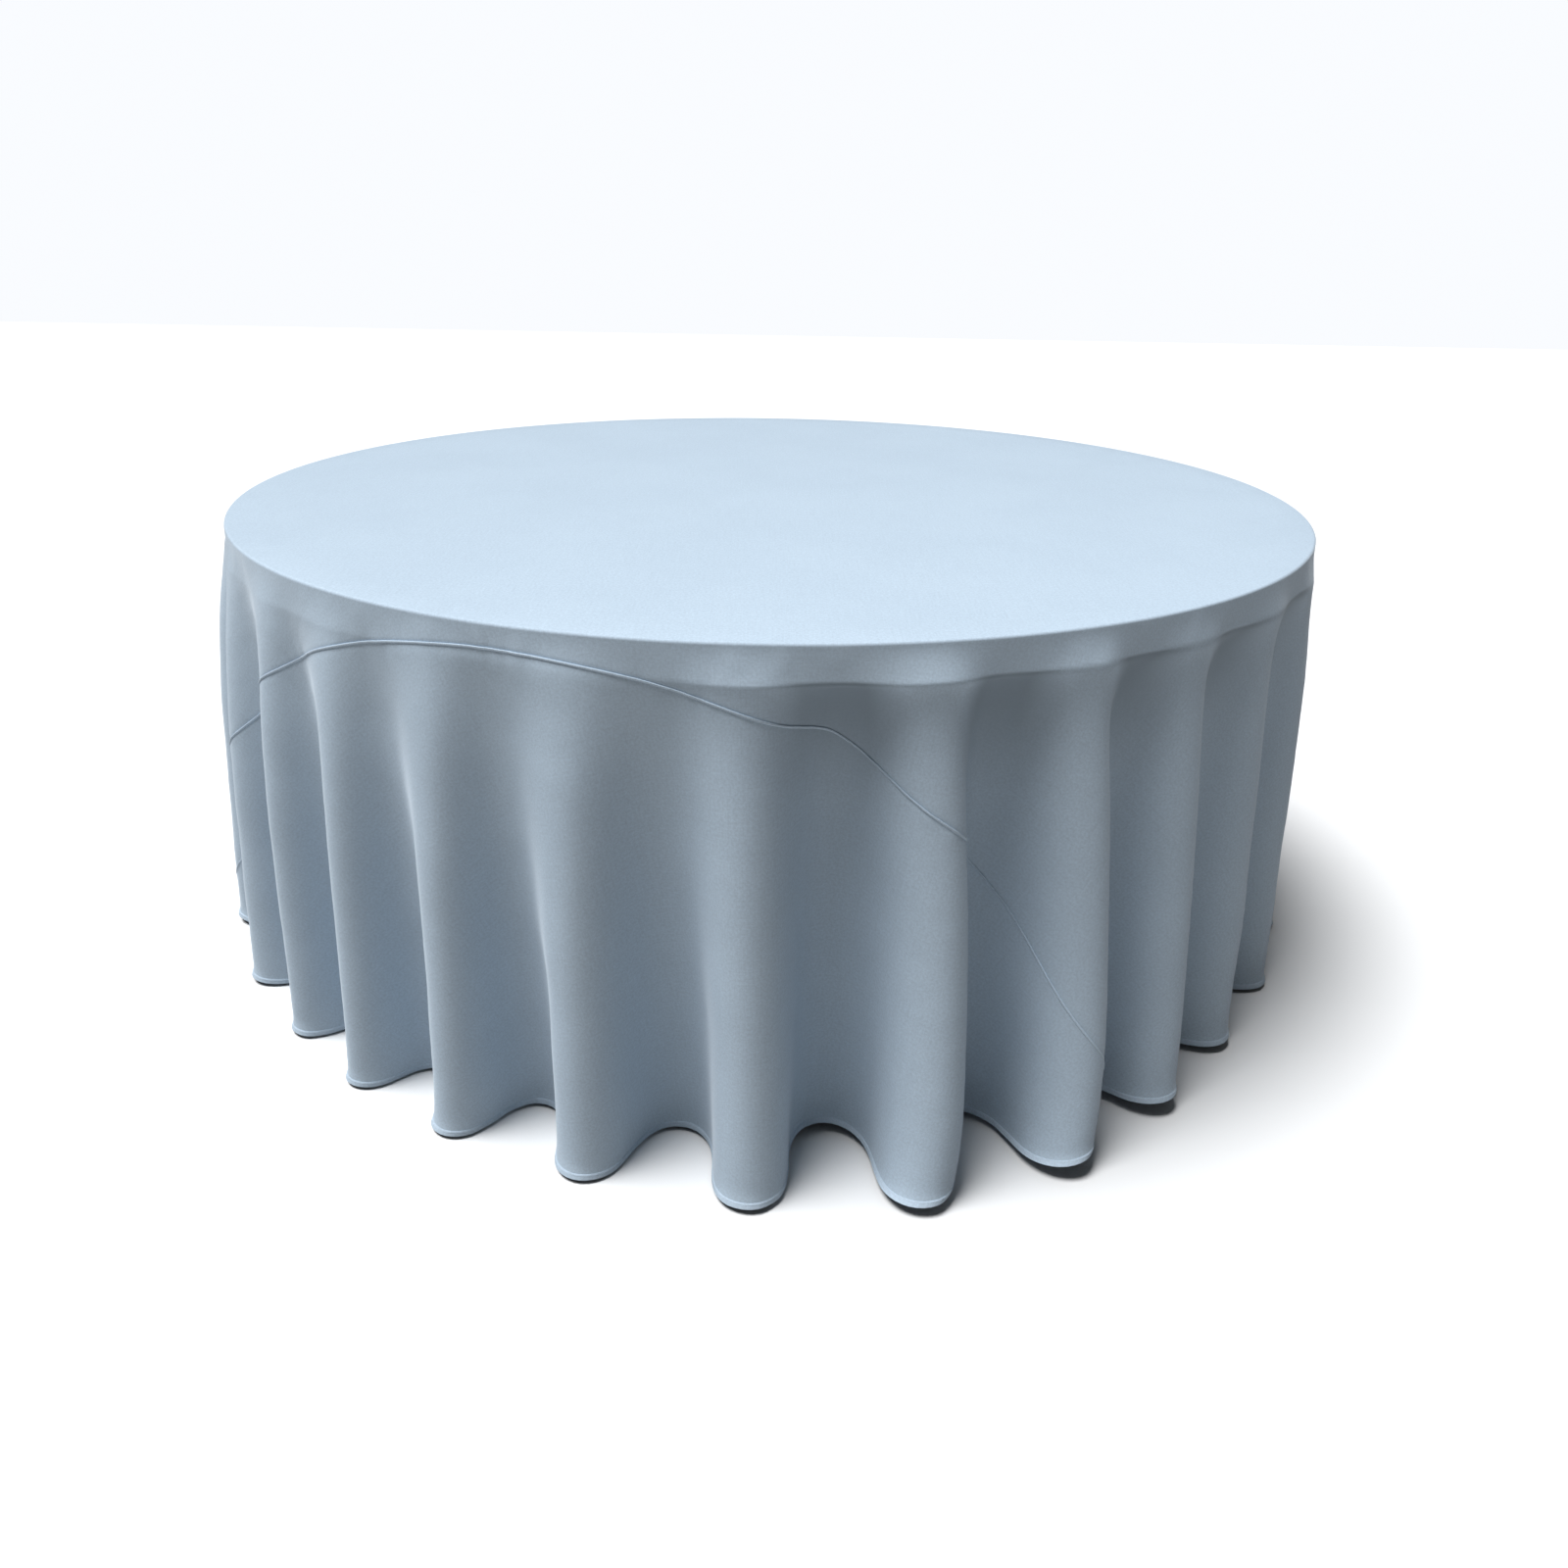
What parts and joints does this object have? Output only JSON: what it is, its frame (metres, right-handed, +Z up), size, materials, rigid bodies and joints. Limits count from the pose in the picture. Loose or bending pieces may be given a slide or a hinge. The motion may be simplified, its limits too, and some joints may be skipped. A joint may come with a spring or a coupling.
{
  "type": "tablecloth on a folding table",
  "caption": "Round folding banquet table dressed with a seamed round floor-length tablecloth; the cloth lifts off and the leg frames fold under the top.",
  "frame": {"origin": "on the floor, under the middle of the table", "axes": "+Z up, -Y towards the front, +X to the right seen from the front"},
  "size_m": [2.0054, 2.0054, 0.7637],
  "materials": {
    "cloth": "dusty light blue plain-weave polyester, soft low sheen",
    "cloth_edge": "the same cloth folded and stitched",
    "laminate": "wood-pattern laminate, satin",
    "plywood": "birch plywood, sanded",
    "timber": "hardwood batten, clear coated",
    "edge_band": "pale grey moulded vinyl edge, satin",
    "frame_paint": "grey hammered powder coat",
    "zinc": "bright zinc plate",
    "rubber": "black moulded rubber"
  },
  "bodies": {
    "table_top": {"top_laminate": "laminate", "top_core": "plywood", "edge_band": "edge_band", "apron_ring": "timber", "front_runner": "timber", "back_runner": "timber", "left_front_hinge_bracket": "zinc", "left_front_outer_screw": "zinc", "left_front_inner_screw": "zinc", "left_back_hinge_bracket": "zinc", "left_back_outer_screw": "zinc", "left_back_inner_screw": "zinc", "left_stay_bracket": "zinc", "right_front_hinge_bracket": "zinc", "right_front_outer_screw": "zinc", "right_front_inner_screw": "zinc", "right_back_hinge_bracket": "zinc", "right_back_outer_screw": "zinc", "right_back_inner_screw": "zinc", "right_stay_bracket": "zinc"},
    "left_leg_frame": {"left_hinge_tube": "frame_paint", "left_cross_bar": "frame_paint", "left_stay_ear": "frame_paint", "left_front_leg": "frame_paint", "left_front_tube_plug": "rubber", "left_front_foot": "rubber", "left_back_leg": "frame_paint", "left_back_tube_plug": "rubber", "left_back_foot": "rubber"},
    "left_upper_stay_link": {"left_upper_stay": "frame_paint", "left_upper_stay_pin": "zinc"},
    "left_lower_stay_link": {"left_lower_stay": "frame_paint", "left_lower_stay_pin": "zinc", "left_knuckle_rivet": "zinc"},
    "right_leg_frame": {"right_hinge_tube": "frame_paint", "right_cross_bar": "frame_paint", "right_stay_ear": "frame_paint", "right_front_leg": "frame_paint", "right_front_tube_plug": "rubber", "right_front_foot": "rubber", "right_back_leg": "frame_paint", "right_back_tube_plug": "rubber", "right_back_foot": "rubber"},
    "right_upper_stay_link": {"right_upper_stay": "frame_paint", "right_upper_stay_pin": "zinc"},
    "right_lower_stay_link": {"right_lower_stay": "frame_paint", "right_lower_stay_pin": "zinc", "right_knuckle_rivet": "zinc"},
    "tablecloth": {"centre_panel": "cloth", "front_side_panel": "cloth", "back_side_panel": "cloth", "front_seam": "cloth_edge", "back_seam": "cloth_edge", "hem_band": "cloth_edge"}
  },
  "joints": [
    {"name": "cloth_lift", "type": "slide", "parent": "table_top", "child": "tablecloth", "axis": [0, 0, 1], "range_m": [0, 0.8]},
    {"name": "left_leg_fold", "type": "hinge", "parent": "table_top", "child": "left_leg_frame", "pos_m": [-0.6, 0, 0.698], "axis": [0, -1, 0], "range_deg": [0, 95.73]},
    {"name": "left_upper_stay_swing", "type": "hinge", "parent": "table_top", "child": "left_upper_stay_link", "pos_m": [-0.27, 0.0377, 0.714], "axis": [0, -1, 0], "range_deg": [0, 142.06]},
    {"name": "left_lower_stay_swing", "type": "hinge", "parent": "left_leg_frame", "child": "left_lower_stay_link", "pos_m": [-0.62714, 0.0423, 0.42736], "axis": [0, -1, 0], "range_deg": [-130.31, 0]},
    {"name": "right_leg_fold", "type": "hinge", "parent": "table_top", "child": "right_leg_frame", "pos_m": [0.6, 0, 0.698], "axis": [0, 1, 0], "range_deg": [0, 95.73]},
    {"name": "right_upper_stay_swing", "type": "hinge", "parent": "table_top", "child": "right_upper_stay_link", "pos_m": [0.27, -0.0377, 0.714], "axis": [0, 1, 0], "range_deg": [0, 142.06]},
    {"name": "right_lower_stay_swing", "type": "hinge", "parent": "right_leg_frame", "child": "right_lower_stay_link", "pos_m": [0.62714, -0.0423, 0.42736], "axis": [0, 1, 0], "range_deg": [-130.31, 0]}
  ],
  "couplings": [
    {"joint": "left_upper_stay_swing", "follows": "left_leg_fold", "ratio": 1.484},
    {"joint": "left_lower_stay_swing", "follows": "left_leg_fold", "ratio": -1.3612},
    {"joint": "right_upper_stay_swing", "follows": "right_leg_fold", "ratio": 1.484},
    {"joint": "right_lower_stay_swing", "follows": "right_leg_fold", "ratio": -1.3612}
  ]
}
